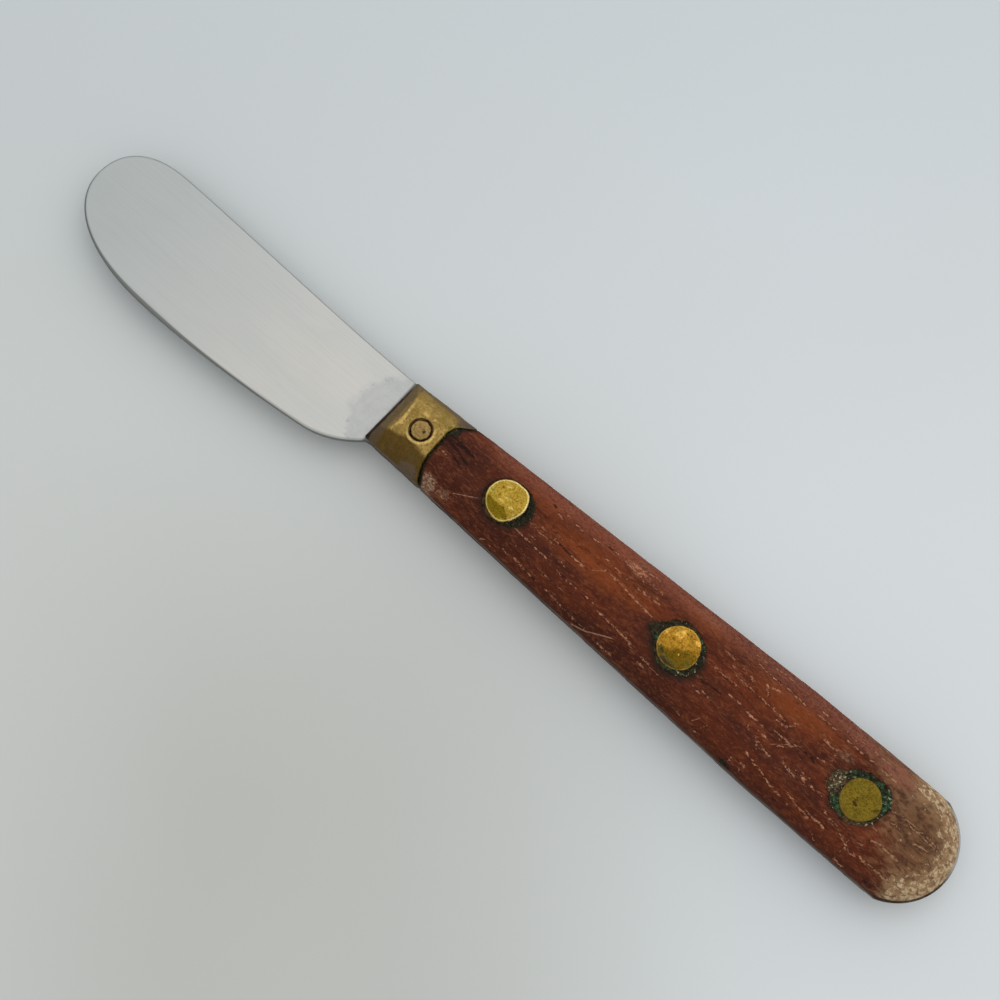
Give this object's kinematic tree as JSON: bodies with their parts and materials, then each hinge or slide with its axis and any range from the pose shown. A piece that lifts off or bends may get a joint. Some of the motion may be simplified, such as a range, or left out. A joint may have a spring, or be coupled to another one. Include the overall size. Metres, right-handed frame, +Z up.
{
  "type": "butter knife",
  "caption": "Short round-tipped spreader with a sheet steel blade and full tang, brass bolsters, and wooden handle scales held by brass rivets.",
  "frame": {"origin": "on the surface that the knife lies on, under the middle of its box", "axes": "+X to the blade's tip, +Y to the belly's edge, +Z up, away from the surface"},
  "size_m": [0.1648, 0.021, 0.009],
  "materials": {
    "steel": "satin, fine scratches along the blade",
    "bolster_brass": "dull, tarnished",
    "rivet_brass": "rubbed on top, tarnished at the rim",
    "wood": "dry, worn red-brown hardwood"
  },
  "bodies": {
    "root": {"blade": "steel", "upper_bolster": "bolster_brass", "lower_bolster": "bolster_brass", "bolster_pin": "bolster_brass", "upper_scale": "wood", "lower_scale": "wood", "front_rivet_pin": "rivet_brass", "front_rivet_sleeve": "rivet_brass", "middle_rivet_pin": "rivet_brass", "middle_rivet_sleeve": "rivet_brass", "rear_rivet_pin": "rivet_brass", "rear_rivet_sleeve": "rivet_brass"}
  },
  "joints": []
}
